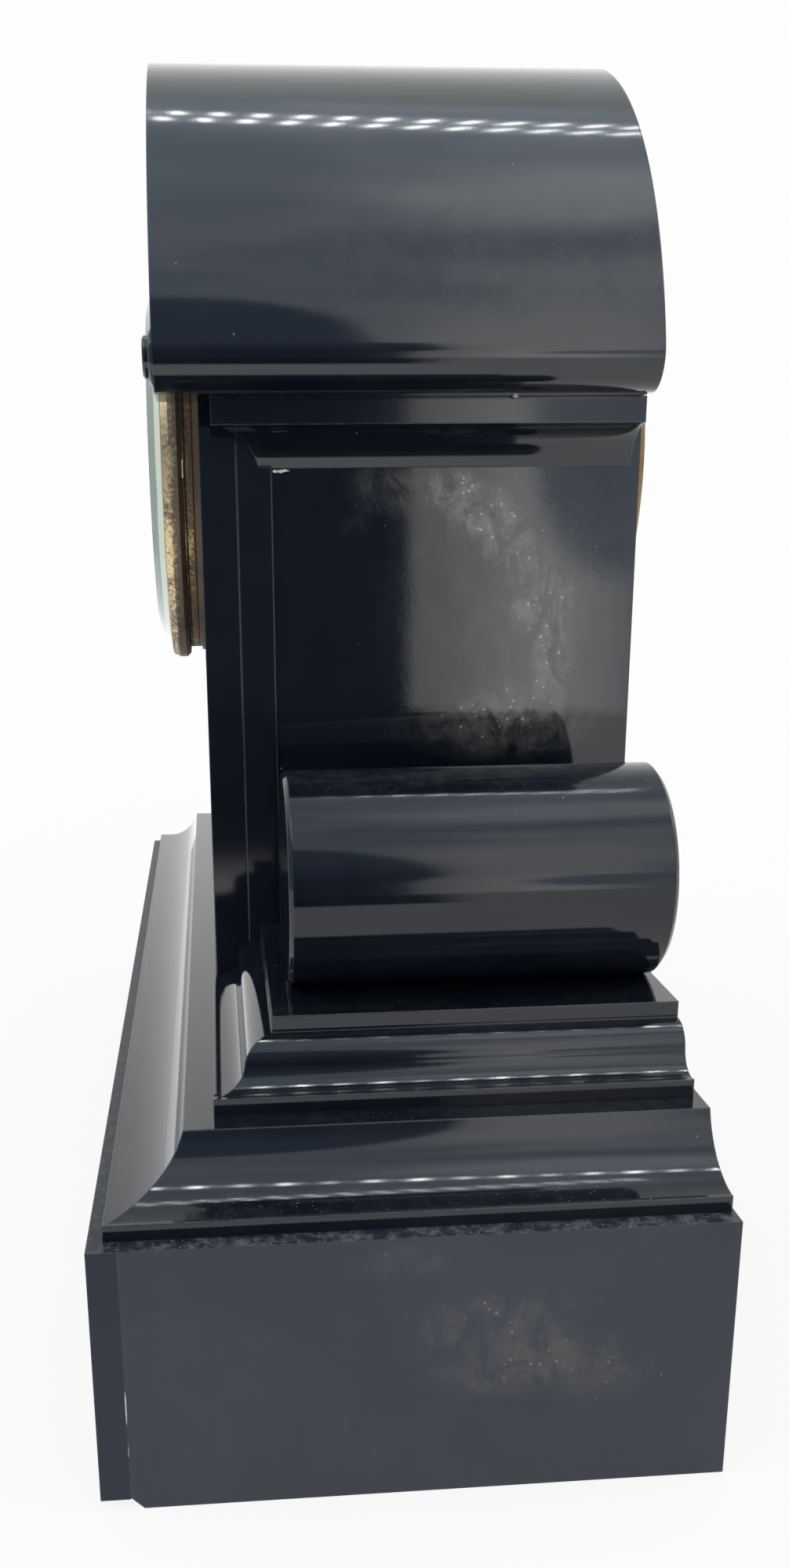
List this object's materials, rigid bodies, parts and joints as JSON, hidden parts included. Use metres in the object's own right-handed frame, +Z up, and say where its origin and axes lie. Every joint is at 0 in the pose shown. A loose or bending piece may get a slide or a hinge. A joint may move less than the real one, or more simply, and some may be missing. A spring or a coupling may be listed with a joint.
{
  "type": "mantel clock",
  "caption": "Polished black slate mantel clock with an arched hood, a round brass bezel with bevelled glass, rolls beside the body and a pendulum movement.",
  "frame": {"origin": "on the table, under the middle of the clock in width and in whole depth", "axes": "+X to the right of someone who faces the dial, -Y out of the dial, +Z up"},
  "size_m": [0.4, 0.1618, 0.3463],
  "materials": {
    "black_slate": "polished black slate with fine scratches",
    "rough_slate": "sawn slate left rough",
    "gilt_bezel": "worn gilding over darkened brass",
    "aged_brass": "darkened brass",
    "clock_brass": "brushed lacquered brass",
    "bell_metal": "turned bell metal",
    "bright_steel": "polished clock steel",
    "blued_steel": "blued steel",
    "white_enamel": "fired white enamel",
    "bezel_glass": "clear bevelled glass, faintly green"
  },
  "bodies": {
    "case": {"base_front_slab": "black_slate", "base_right_slab": "black_slate", "base_left_slab": "black_slate", "base_back_slab": "rough_slate", "lower_plinth_slab": "black_slate", "upper_plinth_slab": "black_slate", "front_slab": "black_slate", "front_backing_slab": "black_slate", "right_side_panel": "black_slate", "left_side_panel": "black_slate", "back_slab": "rough_slate", "hood_arch": "black_slate", "right_cornice": "black_slate", "left_cornice": "black_slate", "right_roll": "black_slate", "left_roll": "black_slate", "right_roundel": "black_slate", "left_roundel": "black_slate", "bezel_ring": "gilt_bezel", "hinge_pins": "bright_steel", "dial_plate": "white_enamel", "movement_front_plate": "clock_brass", "movement_back_plate": "clock_brass", "plate_pillars": "clock_brass", "movement_straps": "aged_brass", "strap_screws": "bright_steel", "ratchet_clicks": "bright_steel", "pallet_cock": "clock_brass", "suspension_cock": "clock_brass", "suspension_spring": "blued_steel", "bell": "bell_metal", "bell_stand": "clock_brass", "rear_ring": "aged_brass"},
    "bezel_door": {"bezel_door_ring": "gilt_bezel", "bevelled_glass": "bezel_glass"},
    "rear_door": {"rear_door": "aged_brass"},
    "centre_arbor": {"centre_wheel": "clock_brass", "cannon_pinion": "bright_steel", "minute_hand": "blued_steel"},
    "hour_wheel": {"hour_wheel": "clock_brass", "hour_hand": "blued_steel"},
    "minute_wheel": {"minute_wheel": "clock_brass"},
    "going_second_wheel": {"going_second_wheel": "clock_brass"},
    "going_barrel": {"going_barrel": "clock_brass", "going_mainspring": "blued_steel"},
    "third_wheel": {"third_wheel": "clock_brass"},
    "escape_wheel": {"escape_wheel": "clock_brass"},
    "going_winding_arbor": {"going_winding_arbor": "bright_steel"},
    "strike_winding_arbor": {"strike_winding_arbor": "bright_steel"},
    "strike_pin_wheel": {"strike_pin_wheel": "clock_brass"},
    "strike_second_wheel": {"strike_second_wheel": "clock_brass"},
    "strike_barrel": {"strike_barrel": "clock_brass", "strike_mainspring": "blued_steel"},
    "warning_wheel": {"warning_wheel": "clock_brass"},
    "strike_fly": {"strike_fly": "clock_brass"},
    "hammer": {"hammer": "bright_steel"},
    "pallets": {"pallets_and_crutch": "bright_steel"},
    "pendulum": {"pendulum_rod": "clock_brass"},
    "pendulum_bob": {"pendulum_bob": "clock_brass"},
    "rating_nut": {"rating_nut": "clock_brass"}
  },
  "joints": [
    {"name": "bezel_door_hinge", "type": "hinge", "parent": "case", "child": "bezel_door", "pos_m": [-0.0616, -0.05595, 0.2348], "axis": [0, 0, -1], "range_deg": [0, 110]},
    {"name": "rear_door_hinge", "type": "hinge", "parent": "case", "child": "rear_door", "pos_m": [-0.0622, 0.07275, 0.2348], "axis": [0, 0, 1], "range_deg": [0, 110]},
    {"name": "centre_arbor_turn", "type": "hinge", "parent": "case", "child": "centre_arbor", "pos_m": [0, -0.0076, 0.2348], "axis": [0, 1, 0], "continuous": true},
    {"name": "hour_wheel_turn", "type": "hinge", "parent": "case", "child": "hour_wheel", "pos_m": [0, -0.0448, 0.2348], "axis": [0, 1, 0], "continuous": true},
    {"name": "minute_wheel_turn", "type": "hinge", "parent": "case", "child": "minute_wheel", "pos_m": [0, -0.042, 0.2228], "axis": [0, 1, 0], "continuous": true},
    {"name": "going_second_wheel_turn", "type": "hinge", "parent": "case", "child": "going_second_wheel", "pos_m": [0.01364, -0.0112, 0.2473], "axis": [0, 1, 0], "continuous": true},
    {"name": "going_barrel_turn", "type": "hinge", "parent": "case", "child": "going_barrel", "pos_m": [0.022, -0.0151, 0.2248], "axis": [0, 1, 0], "continuous": true},
    {"name": "third_wheel_turn", "type": "hinge", "parent": "case", "child": "third_wheel", "pos_m": [-0.01099, -0.004, 0.24815], "axis": [0, 1, 0], "continuous": true},
    {"name": "escape_wheel_turn", "type": "hinge", "parent": "case", "child": "escape_wheel", "pos_m": [0, -0.0004, 0.2588], "axis": [0, 1, 0], "continuous": true},
    {"name": "going_winding_turn", "type": "hinge", "parent": "case", "child": "going_winding_arbor", "pos_m": [0.022, -0.0411, 0.2248], "axis": [0, 1, 0], "continuous": true},
    {"name": "strike_winding_turn", "type": "hinge", "parent": "case", "child": "strike_winding_arbor", "pos_m": [-0.022, -0.0411, 0.2248], "axis": [0, 1, 0], "continuous": true},
    {"name": "strike_pin_wheel_turn", "type": "hinge", "parent": "case", "child": "strike_pin_wheel", "pos_m": [-0.02906, -0.0076, 0.25805], "axis": [0, 1, 0], "continuous": true},
    {"name": "strike_second_wheel_turn", "type": "hinge", "parent": "case", "child": "strike_second_wheel", "pos_m": [-0.03214, -0.0112, 0.24655], "axis": [0, 1, 0], "continuous": true},
    {"name": "strike_barrel_turn", "type": "hinge", "parent": "case", "child": "strike_barrel", "pos_m": [-0.022, -0.0151, 0.2248], "axis": [0, 1, 0], "continuous": true},
    {"name": "warning_wheel_turn", "type": "hinge", "parent": "case", "child": "warning_wheel", "pos_m": [-0.02077, -0.0112, 0.26106], "axis": [0, 1, 0], "continuous": true},
    {"name": "strike_fly_turn", "type": "hinge", "parent": "case", "child": "strike_fly", "pos_m": [-0.01447, -0.0112, 0.2647], "axis": [0, 1, 0], "continuous": true},
    {"name": "hammer_lift", "type": "hinge", "parent": "case", "child": "hammer", "pos_m": [-0.0175, 0.0329, 0.2728], "axis": [0, 1, 0], "range_deg": [0, 15]},
    {"name": "pendulum_swing", "type": "hinge", "parent": "case", "child": "pendulum", "pos_m": [0, 0.0169, 0.2701], "axis": [0, 1, 0], "range_deg": [-4, 4]},
    {"name": "pallets_rock", "type": "hinge", "parent": "case", "child": "pallets", "pos_m": [0, -0.0005, 0.2701], "axis": [0, 1, 0], "range_deg": [-4, 4]},
    {"name": "pendulum_bob_slide", "type": "slide", "parent": "pendulum", "child": "pendulum_bob", "axis": [0, 0, 1], "range_m": [-0.001, 0.001]},
    {"name": "rating_nut_turn", "type": "hinge", "parent": "pendulum_bob", "child": "rating_nut", "pos_m": [0, 0.0169, 0.1243], "axis": [0, 0, 1], "range_deg": [-720, 720]}
  ],
  "couplings": [
    {"joint": "hour_wheel_turn", "follows": "centre_arbor_turn", "ratio": 0.083333},
    {"joint": "minute_wheel_turn", "follows": "centre_arbor_turn", "ratio": -0.33333},
    {"joint": "going_second_wheel_turn", "follows": "centre_arbor_turn", "ratio": -0.15625},
    {"joint": "going_barrel_turn", "follows": "centre_arbor_turn", "ratio": 0.022321},
    {"joint": "third_wheel_turn", "follows": "centre_arbor_turn", "ratio": -12},
    {"joint": "escape_wheel_turn", "follows": "centre_arbor_turn", "ratio": 168},
    {"joint": "strike_second_wheel_turn", "follows": "strike_pin_wheel_turn", "ratio": -0.16667},
    {"joint": "strike_barrel_turn", "follows": "strike_pin_wheel_turn", "ratio": 0.02381},
    {"joint": "warning_wheel_turn", "follows": "strike_pin_wheel_turn", "ratio": -8},
    {"joint": "strike_fly_turn", "follows": "strike_pin_wheel_turn", "ratio": 66.667},
    {"joint": "pallets_rock", "follows": "pendulum_swing", "ratio": 1},
    {"joint": "rating_nut_turn", "follows": "pendulum_bob_slide", "rad_per_m": 12566}
  ]
}
